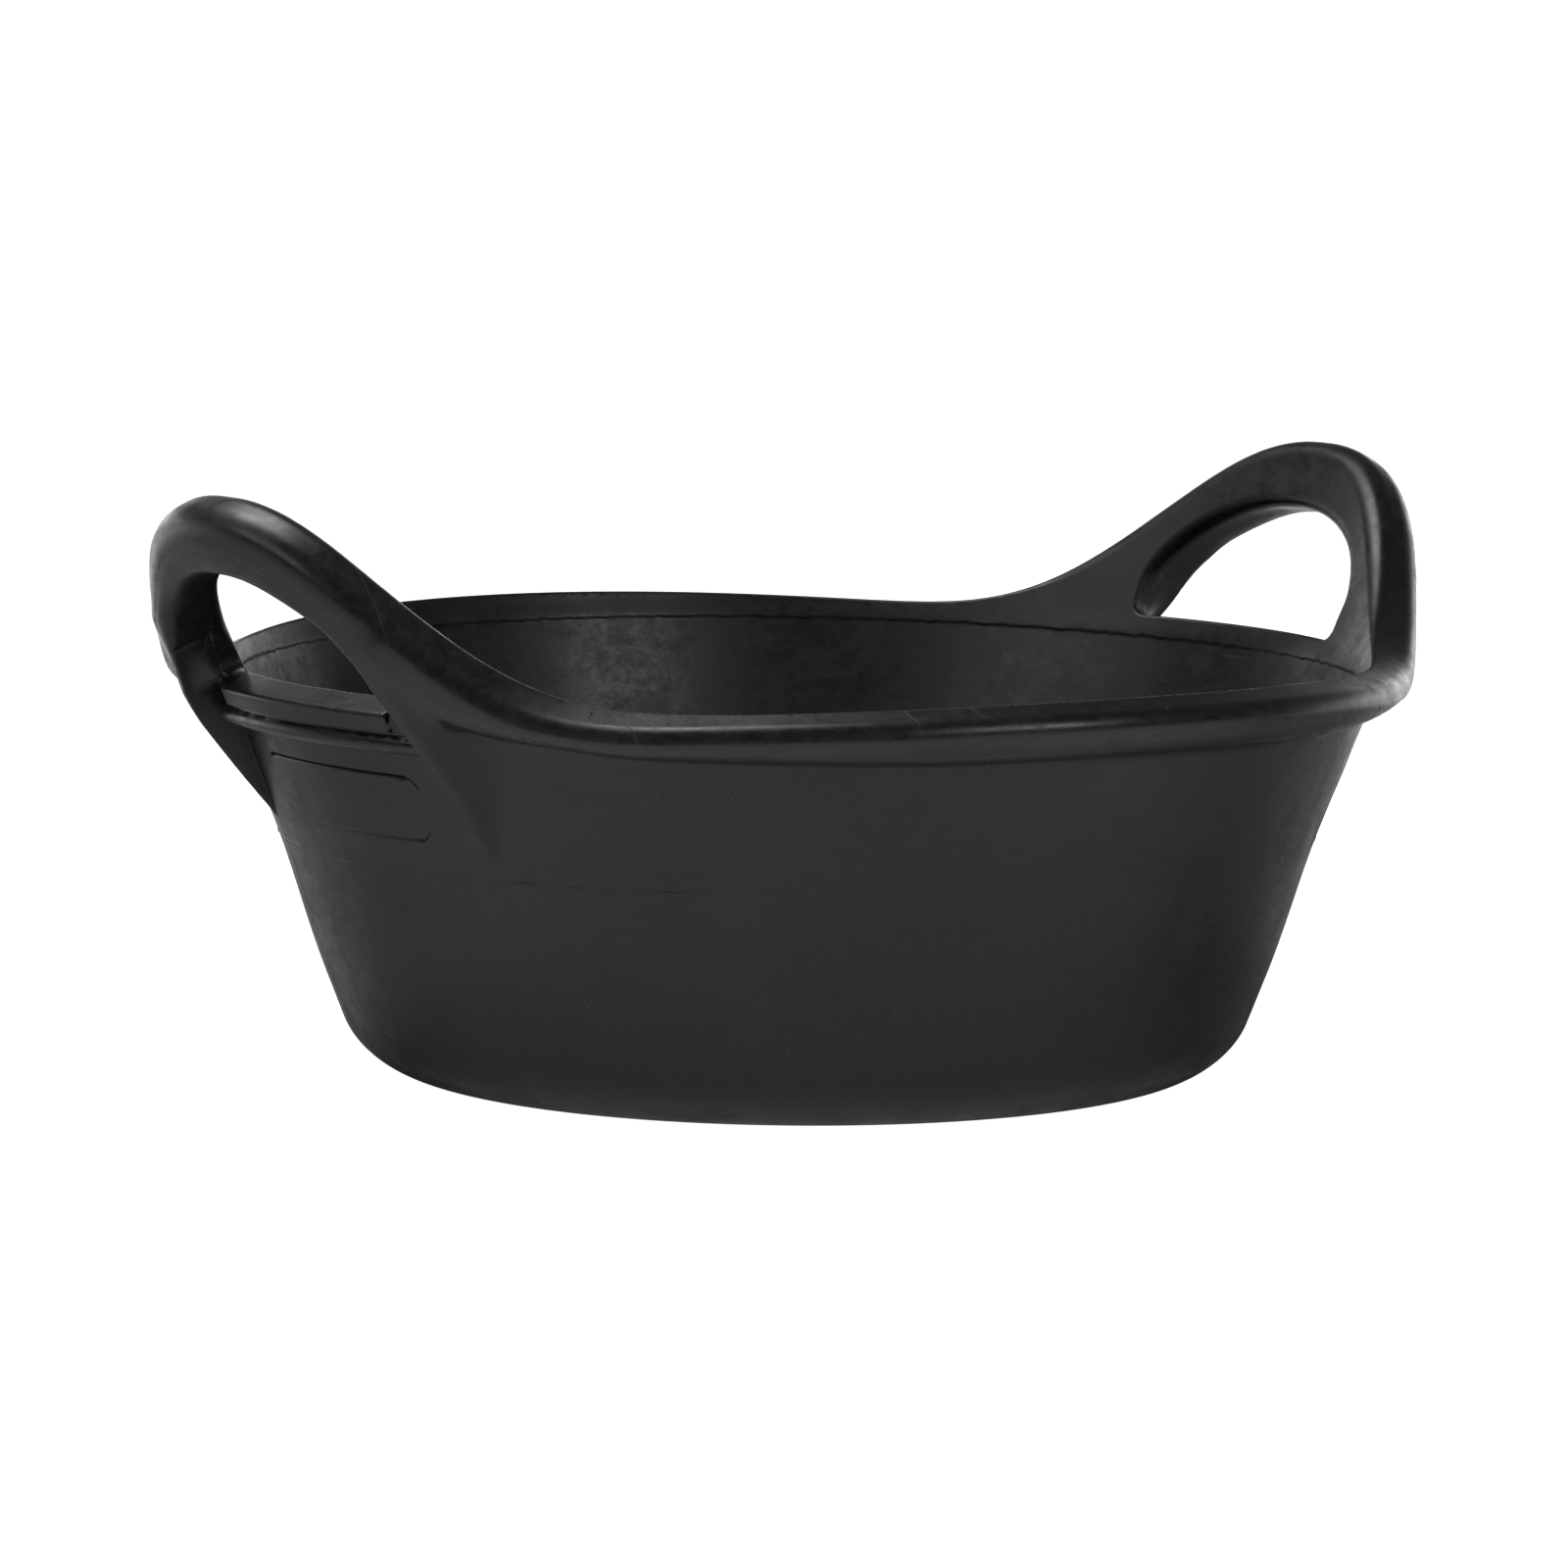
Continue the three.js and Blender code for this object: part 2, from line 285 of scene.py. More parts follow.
def wander(turn, seed, slowest, fastest, waves=14):
    """An irregular wave round the tub, between about -1 and 1. It joins up after one turn."""
    random = np.random.RandomState(seed)
    total = np.zeros_like(turn)
    for _ in range(waves):
        pace = random.randint(slowest, fastest)
        total += np.sin(pace * turn + random.uniform(0, 2 * math.pi)) * (slowest / pace) ** 0.4
    return total / math.sqrt(waves) * 0.9


def bump(distance, width):
    return np.exp(-(distance / width) ** 2)


def parting_place(angle):
    """How far below the crest the moulds met, on the round outer face."""
    return 7.2 + 5.0 * ease(angle, 36.0, 14.0)


def witness_distance(angle, height):
    """Distance from the line that the end moulds left low on the wall and up to the bead."""
    side_angle = WITNESS_ANGLE - 8.0 * (np.clip(height - WITNESS_LOW, 0, 60) / 50) ** 1.6
    sideways = (angle - side_angle) * DEGREE * ARC_RADIUS * 0.9
    upward = (height - WITNESS_LOW) * 1.07
    along_low = np.where(sideways < 0, np.abs(upward), length(sideways, upward))
    up_side = np.where(upward > 0, np.abs(sideways), length(sideways, upward))
    return np.minimum(along_low, up_side)


def marks(x, y, z):
    """How far the moulding's marks stand out of the smooth shape, in millimetres."""
    turn = np.arctan2(y, x)
    angle, height, depth, cosine = wall_coordinates(x, y, z)
    down = below_crest(angle, height, cosine)
    outer = ease(depth, WALL + 1.5, WALL + 5.0)
    inner = ease(depth, 1.2, 0.4) * ease(z, 90, 100)
    skin_face = ease(depth, WALL - 1.0, WALL - 0.3) * (1 - outer) * ease(z, 75, 80)
    torn = wander(turn, 3, 60, 420, 22)
    line = parting_place(angle) + 0.9 * wander(turn, 5, 9, 60) + 0.55 * torn
    off = down - line
    rough = np.clip(0.55 + 0.6 * wander(turn, 8, 5, 30), 0, 1.1)
    fade = ease(down - parting_place(angle), -7.0, -1.0)
    step = PARTING_STEP * rough / (1 + np.exp(np.clip(off / 0.22, -30, 30))) * fade
    ridge = PARTING_RIDGE * bump(off, 0.45) * np.clip(wander(turn, 13, 50, 300, 20), 0, 1)
    out = outer * (step + ridge)
    flash_line = height - FLASH_HEIGHT + 1.2 * np.cos(2 * turn) - 0.3 * wander(turn, 21, 30, 240, 20)
    flash = FLASH_RIDGE * bump(flash_line, 0.5) * np.clip(0.5 + wander(turn, 23, 20, 160), 0.1, 1.3)
    lip = ease(height, FLASH_HEIGHT + 9, FLASH_HEIGHT) / (1 + np.exp(np.clip(-flash_line / 0.3, -30, 30)))
    out = out + inner * (flash + FLASH_LIP * lip)
    witness = witness_distance(angle, height + 0.3 * wander(turn, 31, 10, 60))
    strength = np.clip(0.7 + 0.4 * wander(turn, 33, 20, 120), 0.2, 1.1)
    out = out + skin_face * WITNESS_RIDGE * bump(witness, 0.42) * strength
    slow = np.sin(x / 31 + 1.3) * np.sin(z / 23 + 0.4) + np.sin(y / 27 + 2.1) * np.cos(z / 37 + x / 61)
    slow = slow + 0.6 * np.sin(x / 13 + y / 17 + 0.7) * np.sin(z / 11 - y / 19)
    return out + UNEVEN * 0.4 * slow * ease(z, 6, 20) - UNEVEN * 0.5


def wear_and_painted_highlight(x, y, z):
    """How far the flash along the crown and the crest has been rubbed to a shine, from 0 to 1; the rubber
    also lightens this band's colour as a painted highlight.
    """
    turn = np.arctan2(y, x)
    angle, height, depth, cosine = wall_coordinates(x, y, z)
    down = below_crest(angle, height, cosine)
    ragged = 1.3 * wander(turn, 41, 16, 80) + 0.8 * wander(turn, 43, 6, 30)
    band = ease(down, 2.0, 3.5) * ease(down - ragged, 10.5, 8.0)
    where = np.clip(0.55 + 0.75 * wander(turn, 47, 2, 16), 0, 1)
    return band * where * ease(depth, WALL, WALL + 2)


def inside(x, y, z):
    """1 on the inner face, which trowels have scuffed, and 0 outside."""
    return ease(wall_coordinates(x, y, z)[2], 2.0, 0.5)


def near_marks(x, y, z):
    angle, height, depth, cosine = wall_coordinates(x, y, z)
    down = below_crest(angle, height, cosine)
    parting = (np.abs(down - parting_place(angle)) < 3.0) & (depth > WALL + 1.5)
    flash = (np.abs(height - FLASH_HEIGHT) < 2.2) & (depth < 1)
    witness = (witness_distance(angle, height) < 1.4) & (np.abs(depth - WALL) < 1)
    return parting | flash | witness


# ------------------------------------------------------------------ meshing
def gradient(field, points, reach=0.15):
    out = np.empty_like(points)
    for axis in range(3):
        step = np.zeros(3)
        step[axis] = reach
        ahead, behind = points + step, points - step
        out[:, axis] = (field(*ahead.T) - field(*behind.T)) / (2 * reach)
    return out


def shortened(vectors, limit):
    """The same vectors, with the ones longer than limit cut down to it."""
    return vectors * np.minimum(1, limit / np.maximum(np.linalg.norm(vectors, axis=1), 1e-9))[:, None]


def settle(points, sets, fields, limit, rounds=4):
    """Moves each point onto all the surfaces in its set, by the shortest way."""
    start = points.copy()
    for mask in np.unique(sets):
        chosen = [field for number, field in enumerate(fields) if mask >> number & 1]
        rows = np.nonzero(sets == mask)[0]
        spot = points[rows]
        for _ in range(rounds):
            slopes = np.stack([gradient(field, spot) for field in chosen], 1)
            values = np.stack([field(*spot.T) for field in chosen], 1)
            square = slopes @ slopes.transpose(0, 2, 1) + 1e-6 * np.eye(len(chosen))
            shift = np.einsum("nkd,nk->nd", slopes, np.linalg.solve(square, values[..., None])[..., 0])
            spot = spot - shortened(shift, limit)
        points[rows] = start[rows] + shortened(spot - start[rows], 2 * limit)
    return points


def skin(fields, low, high, step):
    """Meshes the overlap of the fields: points, triangles, and which field each triangle lies on."""
    first = np.floor(np.array(low, float) / step) - 0.5
    count = (np.ceil((np.array(high, float) / step) - first)).astype(int) + 1
    axes = [(first[a] + np.arange(count[a])) * step for a in range(3)]
    grid = np.meshgrid(*axes, indexing="ij")
    values = np.stack([np.broadcast_to(field(*grid), grid[0].shape) for field in fields]).astype(np.float32)
    solid = values.max(0)
    inside = solid < 0
    cells = tuple(count - 1)
    cell_total = int(np.prod(cells))
    sums = np.zeros((cell_total, 4))
    sets = np.zeros(cell_total, np.int64)
    quads, labels = [], []
    for axis in range(3):
        near = [slice(None)] * 3
        away = [slice(None)] * 3
        near[axis], away[axis] = slice(0, -1), slice(1, None)
        near, away = tuple(near), tuple(away)
        where = np.argwhere(inside[near] != inside[away])
        other = [(axis + 1) % 3, (axis + 2) % 3]
        fits = np.all([(where[:, o] > 0) & (where[:, o] < count[o] - 1) for o in other], 0)
        where = where[fits]
        i, j, k = where.T
        start, end = solid[near][i, j, k], solid[away][i, j, k]
        part = start / (start - end)
        spot = np.stack([axes[a][where[:, a]] for a in range(3)], 1).astype(float)
        spot[:, axis] += part * step
        before = values[(slice(None),) + near][:, i, j, k]
        after = values[(slice(None),) + away][:, i, j, k]
        label = (before * (1 - part) + after * part).argmax(0)
        corner = []
        for du, dv in ((-1, -1), (0, -1), (0, 0), (-1, 0)):
            cell = where.copy()
            cell[:, other[0]] += du
            cell[:, other[1]] += dv
            flat = np.ravel_multi_index(cell.T, cells)
            corner.append(flat)
            for a in range(3):
                np.add.at(sums[:, a], flat, spot[:, a])
            np.add.at(sums[:, 3], flat, 1)
            np.bitwise_or.at(sets, flat, 1 << label)
        ring = np.stack(corner, 1)
        outward = inside[near][i, j, k]
        ring[~outward] = ring[~outward][:, ::-1]
        quads.append(ring)
        labels.append(label)
    quads, labels = np.concatenate(quads), np.concatenate(labels)
    used, quads = np.unique(quads, return_inverse=True)
    quads = quads.reshape(-1, 4)
    points = sums[used, :3] / sums[used, 3:]
    sets = sets[used]
    column = np.stack(np.unravel_index(used, cells), 1)
    for axis in range(3):
        if low[axis] == 0:
            points[column[:, axis] == 0, axis] = 0
    points = settle(points, sets, fields, step)
    diagonal = np.linalg.norm(points[quads[:, 0]] - points[quads[:, 2]], axis=1)
    other_way = np.linalg.norm(points[quads[:, 1]] - points[quads[:, 3]], axis=1) < diagonal
    quads[other_way] = np.roll(quads[other_way], 1, axis=1)
    triangles = np.concatenate([quads[:, [0, 1, 2]], quads[:, [0, 2, 3]]])
    return points, triangles, np.concatenate([labels, labels])


def unit(vectors):
    return vectors / np.maximum(np.linalg.norm(vectors, axis=-1, keepdims=True), 1e-9)


def refine(points, triangles, labels, fields, shortest, bend):
    """Splits edges where the surface turns by more than bend degrees or bears marks."""
    sides = np.concatenate([triangles[:, [0, 1]], triangles[:, [1, 2]], triangles[:, [2, 0]]])
    ordered = np.sort(sides, axis=1)
    edges, edge_of = np.unique(ordered, axis=0, return_inverse=True)
    edge_of = edge_of.reshape(3, -1).T
    sets = np.zeros(len(edges), np.int64)
    np.bitwise_or.at(sets, edge_of.ravel(), np.repeat(1 << labels, 3))
    normals = unit(gradient(fields[0], points))
    span = np.linalg.norm(points[edges[:, 0]] - points[edges[:, 1]], axis=1)
    turn = np.einsum("nd,nd->n", normals[edges[:, 0]], normals[edges[:, 1]])
    fine = near_marks(*points.T)
    fine = fine[edges[:, 0]] | fine[edges[:, 1]]
    cut = ((turn < math.cos(bend * DEGREE)) | fine) & (span > shortest) & (sets & 1 == 1)
    number = np.full(len(edges), -1)
    number[cut] = len(points) + np.arange(cut.sum())
    middle = points[edges[cut]].mean(1)
    limit = span[cut].max() / 2 if cut.any() else 1
    middle = settle(middle, sets[cut], fields, limit)
    points = np.concatenate([points, middle])
    new = number[edge_of]
    flags = (new >= 0).sum(1)
    parts, kept = [triangles[flags == 0]], [labels[flags == 0]]

    def push(rows, *corners):
        parts.append(np.stack(corners, 1))
        kept.append(labels[rows])

    for rolled in range(3):
        t = np.roll(triangles, -rolled, axis=1)
        e = np.roll(new, -rolled, axis=1)
        one = np.nonzero((flags == 1) & (e[:, 0] >= 0))[0]
        push(one, t[one, 0], e[one, 0], t[one, 2])
        push(one, e[one, 0], t[one, 1], t[one, 2])
        two = np.nonzero((flags == 2) & (e[:, 2] < 0))[0]
        push(two, e[two, 0], t[two, 1], e[two, 1])
        push(two, t[two, 0], e[two, 0], e[two, 1])
        push(two, t[two, 0], e[two, 1], t[two, 2])
    t, e = triangles, new
    three = np.nonzero(flags == 3)[0]
    push(three, t[three, 0], e[three, 0], e[three, 2])
    push(three, e[three, 0], t[three, 1], e[three, 1])
    push(three, e[three, 2], e[three, 1], t[three, 2])
    push(three, e[three, 0], e[three, 1], e[three, 2])
    return points, np.concatenate(parts), np.concatenate(kept)


def mirrored(points, triangles, labels, flips):
    """Copies of a quarter, each flipped in x and/or y, sewn together where they meet."""
    all_points, all_triangles, all_labels = [], [], []
    for flip_x, flip_y in flips:
        base = sum(len(p) for p in all_points)
        all_points.append(points * [flip_x, flip_y, 1])
        order = triangles if flip_x * flip_y > 0 else triangles[:, ::-1]
        all_triangles.append(order + base)
        all_labels.append(labels)
    joined = np.concatenate(all_points)
    on_plane = np.abs(joined) < 1e-3
    on_plane[:, 2] = False
    joined[on_plane] = 0
    _, keep, back = np.unique(np.round(joined, 5), axis=0, return_index=True, return_inverse=True)
    return tidy(joined[keep], back.reshape(-1)[np.concatenate(all_triangles)], np.concatenate(all_labels))


def tidy(points, triangles, labels):
    """Drops triangles that have shrunk to a line, and pairs that lie back to back."""
    ordered = np.sort(triangles, axis=1)
    whole = (ordered[:, 0] != ordered[:, 1]) & (ordered[:, 1] != ordered[:, 2])
    _, first, times = np.unique(ordered, axis=0, return_inverse=True, return_counts=True)
    whole &= times[first.reshape(-1)] == 1
    return points, triangles[whole], labels[whole]


# ------------------------------------------------------------------ where the moulding is divided
def above_foot(x, y, z):
    _, height, _, cosine = wall_coordinates(x, y, z)
    return (FOOT_TOP - height) / cosine


def below_foot(x, y, z):
    return -above_foot(x, y, z)


def below_bead(x, y, z):
    angle, height, _, cosine = wall_coordinates(x, y, z)
    return (height - rim_height(angle)) / cosine + BEAD_WIDTH + SEAM_BELOW_BEAD


def above_bead(x, y, z):
    return -below_bead(x, y, z)


def beyond_leg(x, y, z):
    return (LEG_ANGLE - wall_coordinates(x, y, z)[0]) * DEGREE * ARC_RADIUS


def within_leg(x, y, z):
    return -beyond_leg(x, y, z)


def beside_recess(x, y, z):
    angle, height, _, _ = wall_coordinates(x, y, z)
    return fin_edge(height) - SEAM_BESIDE_FIN - angle * DEGREE * ARC_RADIUS


def in_recess(x, y, z):
    return -beside_recess(x, y, z)


def above_sill(x, y, z):
    _, height, _, cosine = wall_coordinates(x, y, z)
    return (SILL + 3 - height) / cosine


def below_sill(x, y, z):
    return -above_sill(x, y, z)


def above_gusset_tip(x, y, z):
    _, height, _, cosine = wall_coordinates(x, y, z)
    return (GUSSET_LOW - height) / cosine


def handle_side(x, y, z):
    return np.minimum(beside_recess(x, y, z), above_sill(x, y, z))


def outside_gusset(x, y, z):
    block = np.maximum(beside_recess(x, y, z), within_leg(x, y, z))
    return -np.maximum(block, above_gusset_tip(x, y, z))


# ------------------------------------------------------------------ materials
class Nodes:
    """Short calls for adding and joining the shader nodes of a material or a world."""

    def __init__(self, owner):
        self.tree = owner.node_tree

    def add(self, kind, inputs=None, **settings):
        node = self.tree.nodes.new("ShaderNode" + kind)
        for key, value in settings.items():
            setattr(node, key, value)
        for key, value in (inputs or {}).items():
            if isinstance(value, bpy.types.NodeSocket):
                self.tree.links.new(value, node.inputs[key])
            else:
                node.inputs[key].default_value = value
        return node

    def noise(self, place, scale, detail=2.0, rough=0.5, distortion=0.0):
        node = self.add("TexNoise", {"Vector": place, "Scale": scale, "Detail": detail,
                                     "Roughness": rough, "Distortion": distortion})
        return node.outputs["Fac"]

    def spread(self, value, low, high, to_low=0.0, to_high=1.0):
        node = self.add("MapRange", {"Value": value, "From Min": low, "From Max": high,
                                     "To Min": to_low, "To Max": to_high}, interpolation_type="SMOOTHSTEP")
        return node.outputs["Result"]

    def maths(self, operation, first, second=0.0):
        return self.add("Math", {0: first, 1: second}, operation=operation).outputs[0]

    def stretched(self, place, turn, scale):
        node = self.add("Mapping", {"Vector": place, "Rotation": turn, "Scale": scale})
        return node.outputs["Vector"]


def rubber(name, shade, roughness, grime):
    """Black vulcanised rubber: cloudy, satin, lightly scratched, with bloom and dust in places, and a
    painted highlight on the rubbed band.
    """
    material = bpy.data.materials.new(name)
    material.use_nodes = True
    shader = material.node_tree.nodes["Principled BSDF"]
    kit = Nodes(material)
    place = kit.add("TexCoord").outputs["Object"]
    cloud = kit.noise(place, 13.0, 6.0, 0.65, 0.2)
    patch = kit.noise(place, 48.0, 6.0, 0.7, 0.2)
    grain = kit.noise(place, 900.0, 2.0, 0.6)
    pebble = kit.noise(place, 170.0, 3.0, 0.5)
    swell = kit.noise(place, 34.0, 3.0, 0.6)
    mottle = kit.noise(kit.stretched(place, (0.4, 0.2, 0.7), (1.0, 0.6, 1.3)), 230.0, 5.0, 0.75, 0.6)
    scratches = None
    for turn, seed in (((0.3, 0.5, 0.2), 0.0), ((1.1, 0.2, 0.9), 3.1), ((0.1, 1.3, 2.2), 7.7)):
        lines = kit.noise(kit.stretched(place, turn, (620.0, 9.0, 9.0)), 1.0, 1.0, 0.4, seed * 0.02)
        cut = kit.spread(lines, 0.735, 0.77)
        here = kit.spread(kit.noise(place, 16.0 + seed, 1.0), 0.5, 0.62)
        cut = kit.maths("MULTIPLY", cut, here)
        scratches = cut if scratches is None else kit.maths("MAXIMUM", scratches, cut)
    cells = kit.add("TexVoronoi", {"Vector": place, "Scale": 240.0}, feature="F1")
    dots = kit.spread(cells.outputs["Distance"], 0.10, 0.05)
    rare = kit.spread(kit.noise(place, 130.0, 1.0), 0.66, 0.69)
    specks = kit.maths("MULTIPLY", dots, rare)
    bloom = kit.spread(kit.maths("ADD", cloud, kit.maths("MULTIPLY", patch, 0.5)), 0.78, 1.0)
    tone = kit.add("MapRange", {"Value": cloud, "From Min": 0.3, "From Max": 0.7,
                                "To Min": shade * 0.8, "To Max": shade * 1.2}).outputs["Result"]
    tone = kit.maths("MULTIPLY", tone, kit.spread(mottle, 0.36, 0.64, 0.72, 1.3))
    tone = kit.maths("ADD", tone, kit.maths("MULTIPLY", bloom, shade * grime))
    tone = kit.maths("ADD", tone, kit.maths("MULTIPLY", specks, 0.07))
    tone = kit.maths("ADD", tone, kit.maths("MULTIPLY", scratches, 0.006))
    rough = kit.spread(patch, 0.35, 0.68, roughness - 0.05, roughness + 0.06)
    rough = kit.maths("ADD", rough, kit.spread(mottle, 0.36, 0.64, -0.045, 0.045))
    rough = kit.maths("ADD", rough, kit.maths("MULTIPLY", bloom, 0.06))
    rough = kit.maths("ADD", rough, kit.maths("MULTIPLY", scratches, 0.12))
    scuffed = kit.add("Attribute", attribute_name="inside").outputs["Fac"]
    rough = kit.maths("ADD", rough, kit.maths("MULTIPLY", scuffed, 0.07))
    # Rubbed band: real wear makes it glossier, and its lighter colour is a painted highlight.
    rubbed_and_highlight = kit.add("Attribute", attribute_name="wear_and_highlight").outputs["Fac"]
    rough = kit.maths("SUBTRACT", rough, kit.maths("MULTIPLY", rubbed_and_highlight, 0.08))
    tone = kit.maths("ADD", tone, kit.maths("MULTIPLY", rubbed_and_highlight, 0.012))
    colour = kit.add("CombineColor", {"Red": tone, "Green": tone, "Blue": kit.maths("MULTIPLY", tone, 1.03)})
    kit.tree.links.new(colour.outputs["Color"], shader.inputs["Base Color"])
    kit.tree.links.new(rough, shader.inputs["Roughness"])
    shader.inputs["Specular IOR Level"].default_value = 0.42
    relief = kit.maths("MULTIPLY", swell, 0.00007)
    relief = kit.maths("ADD", relief, kit.maths("MULTIPLY", pebble, 0.00006))
    relief = kit.maths("ADD", relief, kit.maths("MULTIPLY", grain, 0.00002))
    relief = kit.maths("SUBTRACT", relief, kit.maths("MULTIPLY", scratches, 0.00006))
    relief = kit.maths("ADD", relief, kit.maths("MULTIPLY", specks, 0.00008))
    surface = kit.add("Bump", {"Strength": 0.8, "Distance": 1.0, "Height": relief})
    kit.tree.links.new(surface.outputs["Normal"], shader.inputs["Normal"])
    return material


# ------------------------------------------------------------------ pieces
def to_mesh(name, points, triangles, labels, material, field=tub):
    points = points + unit(gradient(tub, points)) * marks(*points.T)[:, None]
    mesh = bpy.data.meshes.new(name)
    mesh.vertices.add(len(points))
    mesh.vertices.foreach_set("co", (points * MM).astype(np.float32).ravel())
    mesh.loops.add(triangles.size)
    mesh.loops.foreach_set("vertex_index", triangles.ravel().astype(np.int32))
    mesh.polygons.add(len(triangles))
    mesh.polygons.foreach_set("loop_start", np.arange(0, triangles.size, 3, dtype=np.int32))
    mesh.update(calc_edges=True)
    mesh.validate()
    first, second, third = points[triangles[:, 0]], points[triangles[:, 1]], points[triangles[:, 2]]
    faces = unit(np.cross(second - first, third - first))
    smooth = unit(gradient(lambda x, y, z: field(x, y, z) - marks(x, y, z), points))
    corners = smooth[triangles]
    corners[labels > 0] = faces[labels > 0][:, None]
    mesh.polygons.foreach_set("use_smooth", np.ones(len(triangles), bool))
    mesh.normals_split_custom_set(corners.reshape(-1, 3).tolist())
    # Point attributes: the rubbed band, which the rubber also lightens as a painted highlight, and the
    # scuffed inner face.
    for key, measure in (("wear_and_highlight", wear_and_painted_highlight), ("inside", inside)):
        values = mesh.attributes.new(key, "FLOAT", "POINT")
        values.data.foreach_set("value", measure(*points.T).astype(np.float32))
    mesh.materials.append(material)
    piece = bpy.data.objects.new(name, mesh)
    bpy.context.scene.collection.objects.link(piece)
    return piece


RIGHT_REAR, LEFT_REAR, LEFT_FRONT, RIGHT_FRONT = (1, 1), (-1, 1), (-1, -1), (1, -1)
ALL_FOUR = [RIGHT_REAR, LEFT_REAR, LEFT_FRONT, RIGHT_FRONT]
RIGHT, LEFT = [RIGHT_REAR, RIGHT_FRONT], [LEFT_REAR, LEFT_FRONT]
REAR, FRONT = [RIGHT_REAR, LEFT_REAR], [RIGHT_FRONT, LEFT_FRONT]
QUARTER = (256, 224, 221)
SHORTEST_EDGE = 0.6
LARGEST_BEND = 14


def build(fields, low, high):
    """A quarter of one region of the tub, meshed and refined where it bends."""
    points, triangles, labels = skin(fields, low, high, GRID)
    for _ in range(2):
        points, triangles, labels = refine(points, triangles, labels, fields, SHORTEST_EDGE, LARGEST_BEND)
    return points, triangles, labels


def place(name, shape, flips, material, slot):
    piece = to_mesh(name, *mirrored(*shape, flips), material)
    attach(piece, "root")
    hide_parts(name)
    return piece


wall_finish = rubber("wall_rubber", 0.0065, 0.35, 0.6)
rim_finish = rubber("rim_rubber", 0.0065, 0.35, 0.6)
handle_finish = rubber("handle_rubber", 0.0065, 0.35, 0.6)
floor_finish = rubber("floor_rubber", 0.0065, 0.37, 0.7)

# Each region of the moulding: the fields it lies within, the box round a quarter of it, its finish,
# its slot, and the quarters that each of its pieces is put together from.
REGIONS = [
    ([tub, below_foot], (0, 0, -3), (170, 170, 35), floor_finish, "floor_rubber", {"floor": ALL_FOUR}),
    ([tub, above_foot, below_bead, outside_gusset], (0, 0, 18), QUARTER,
     wall_finish, "wall_rubber", {"side_wall": ALL_FOUR}),
    ([tub, above_bead, beyond_leg], (0, 120, 120), QUARTER,
     rim_finish, "rim_rubber", {"rim_bead_rear": REAR, "rim_bead_front": FRONT}),
    ([tub, above_bead, within_leg, handle_side], (140, 0, 115), QUARTER,
     handle_finish, "handle_rubber", {"handle_right": RIGHT, "handle_left": LEFT}),
    ([tub, above_bead, in_recess, below_sill], (170, 0, 115), (240, 75, 165),
     rim_finish, "rim_rubber", {"hand_hole_sill_right": RIGHT, "hand_hole_sill_left": LEFT}),
    ([tub, below_bead, within_leg, beside_recess, above_gusset_tip], (130, 40, 80), (240, 150, 145),
     handle_finish, "handle_rubber",
     {"gusset_right_rear": [RIGHT_REAR], "gusset_left_rear": [LEFT_REAR],
      "gusset_left_front": [LEFT_FRONT], "gusset_right_front": [RIGHT_FRONT]}),
]
for fields, low, high, finish, slot, copies in REGIONS:
    shape = build(fields, low, high)
    for name, flips in copies.items():
        place(name, shape, flips, finish, slot)


# The blank raised panel on the left end, a rounded rectangle laid on the cone.
def badge_outline():
    """Points round the panel's rounded rectangle, at most 1.6 mm apart, from its middle."""
    half_long, half_high = BADGE_HALF, (BADGE_HIGH - BADGE_LOW) / 2
    corner = BADGE_CORNER
    outline = []
    for centre_x, centre_y, start in ((1, 1, 0), (-1, 1, 90), (-1, -1, 180), (1, -1, 270)):
        for step in range(13):
            turn = (start + 90 * step / 12) * DEGREE
            outline.append((centre_x * (half_long - corner) + corner * math.cos(turn),
                            centre_y * (half_high - corner) + corner * math.sin(turn)))
    outline = np.array(outline)
    fine = []
    for here, there in zip(outline, np.roll(outline, -1, 0)):
        count = max(1, int(np.hypot(*(there - here)) / 1.6))
        fine += [here + (there - here) * k / count for k in range(count)]
    return np.array(fine)


def badge_panel(x, y, z):
    """Negative inside the panel, for its normals."""
    _, height, depth, cosine = wall_coordinates(x, y, z)
    turn = np.arctan2(y, -x) / DEGREE
    across = np.abs(turn * DEGREE * ARC_RADIUS) - BADGE_HALF + BADGE_CORNER
    up = np.abs(height - (BADGE_LOW + BADGE_HIGH) / 2) / cosine - (BADGE_HIGH - BADGE_LOW) / 2 + BADGE_CORNER
    past = np.minimum(np.maximum(across, up), 0)
    side = length(np.maximum(across, 0), np.maximum(up, 0)) + past - BADGE_CORNER
    return both(side, depth - WALL - BADGE_PROUD, 0.35)


